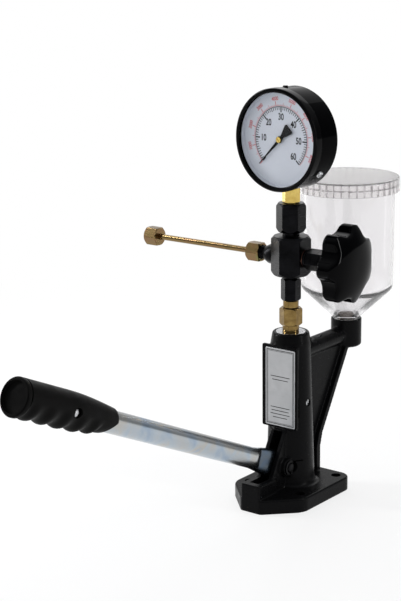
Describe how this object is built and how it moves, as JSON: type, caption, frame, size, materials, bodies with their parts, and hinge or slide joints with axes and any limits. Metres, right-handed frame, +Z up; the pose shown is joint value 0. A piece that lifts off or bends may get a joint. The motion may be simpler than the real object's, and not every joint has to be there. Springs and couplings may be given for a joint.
{
  "type": "diesel injector tester",
  "caption": "Hand-pumped diesel injector tester: cast pump stand with a long lever, pressure gauge, clear oil cup, shut-off valve with a star knob, and a steel injector pipe.",
  "frame": {"origin": "on the pump's axis, at the underside of the base plate", "axes": "+Z up along the pump's axis; the lever and the gauge face -Y, the oil cup is behind at +Y, the star knob is at +X and the injector pipe at -X"},
  "size_m": [0.2603, 0.5511, 0.4151],
  "materials": {
    "black_enamel": "semi-gloss",
    "black_oxide_steel": "black oxide, satin",
    "brass": "machined",
    "yellow_zinc_steel": "yellow zinc plate",
    "zinc_plated_steel": "bright zinc plate",
    "bright_steel": "machined",
    "copper": "plain",
    "black_rubber": "matt",
    "black_moulded_plastic": "gloss",
    "clear_plastic": "clear",
    "white_paint": "matt",
    "printed_aluminium": "satin"
  },
  "bodies": {
    "stand": {"bezel": "black_enamel", "bleed_screw": "bright_steel", "body_casting": "black_enamel", "bourdon_tube": "brass", "brass_ring": "brass", "case_screw_1": "bright_steel", "case_screw_2": "bright_steel", "clamp_ring": "bright_steel", "cup_seal": "black_rubber", "delivery_spring": "bright_steel", "dial": "white_paint", "feed_strainer": "brass", "gauge_adapter": "black_oxide_steel", "gauge_case": "black_enamel", "gauge_socket": "brass", "gland_washer": "copper", "injector_pipe": "yellow_zinc_steel", "lens": "clear_plastic", "link": "brass", "lower_union": "black_oxide_steel", "movement_frame": "brass", "nameplate": "printed_aluminium", "near_nut": "yellow_zinc_steel", "oil_cup": "clear_plastic", "outlet_stub": "black_oxide_steel", "pivot_clip_left": "black_oxide_steel", "pivot_clip_right": "black_oxide_steel", "pivot_pin": "black_oxide_steel", "pump_barrel": "bright_steel", "return_spring": "bright_steel", "seal_washer": "copper", "stem_seal": "black_rubber", "valve_block": "black_oxide_steel", "valve_gland": "black_oxide_steel", "valve_holder": "brass", "valve_seat": "bright_steel", "vent_plug": "black_rubber"},
    "lever": {"lever_tube": "zinc_plated_steel", "rocker": "bright_steel", "rocker_rivet_low": "bright_steel", "rocker_rivet_high": "bright_steel", "pivot_bush": "brass", "grip": "black_rubber", "grip_button": "bright_steel"},
    "plunger": {"tappet": "bright_steel", "plunger": "bright_steel"},
    "delivery_valve": {"delivery_valve": "bright_steel"},
    "needle": {"needle_tip": "bright_steel"},
    "knob": {"star_knob": "black_moulded_plastic", "knob_insert": "brass", "valve_stem": "bright_steel"},
    "pointer": {"pointer": "black_oxide_steel", "pinion": "brass"},
    "sector": {"sector_gear": "brass"},
    "far_nut": {"far_nut": "yellow_zinc_steel"},
    "lid": {"cup_lid": "clear_plastic"}
  },
  "joints": [
    {"name": "lever_pivot", "type": "hinge", "parent": "stand", "child": "lever", "pos_m": [0, -0.0225, 0.0366], "axis": [1, 0, 0], "range_deg": [0, 17], "stiffness_Nm_per_rad": 6, "springref_deg": -20.05},
    {"name": "plunger_slide", "type": "slide", "parent": "stand", "child": "plunger", "axis": [0, 0, 1], "range_m": [0, 0.00675], "deforming": ["return_spring"]},
    {"name": "delivery_valve_slide", "type": "slide", "parent": "stand", "child": "delivery_valve", "axis": [0, 0, 1], "range_m": [0, 0.001], "stiffness_N_per_m": 300, "springref_m": -0.003, "deforming": ["delivery_spring"]},
    {"name": "needle_slide", "type": "slide", "parent": "stand", "child": "needle", "axis": [1, 0, 0], "range_m": [0, 0.003]},
    {"name": "knob_turn", "type": "hinge", "parent": "needle", "child": "knob", "pos_m": [0.05, 0, 0.2466], "axis": [1, 0, 0], "range_deg": [0, 720]},
    {"name": "pointer_turn", "type": "hinge", "parent": "stand", "child": "pointer", "pos_m": [0, 0, 0.3641], "axis": [0.0698, 0.9976, 0], "range_deg": [0, 270]},
    {"name": "sector_turn", "type": "hinge", "parent": "stand", "child": "sector", "pos_m": [0, 0, 0.3438], "axis": [0.0698, 0.9976, 0], "range_deg": [-30, 0], "stiffness_Nm_per_rad": 0.02, "springref_deg": 2.86},
    {"name": "far_nut_turn", "type": "hinge", "parent": "stand", "child": "far_nut", "pos_m": [-0.17, 0, 0.2466], "axis": [1, 0, 0], "continuous": true},
    {"name": "lid_slide", "type": "slide", "parent": "stand", "child": "lid", "axis": [0, 0, 1], "range_m": [0, 0.12]}
  ],
  "couplings": [
    {"joint": "plunger_slide", "follows": "lever_pivot", "m_per_rad": 0.022732},
    {"joint": "needle_slide", "follows": "knob_turn", "m_per_rad": 0.00023873},
    {"joint": "pointer_turn", "follows": "sector_turn", "ratio": -9}
  ]
}
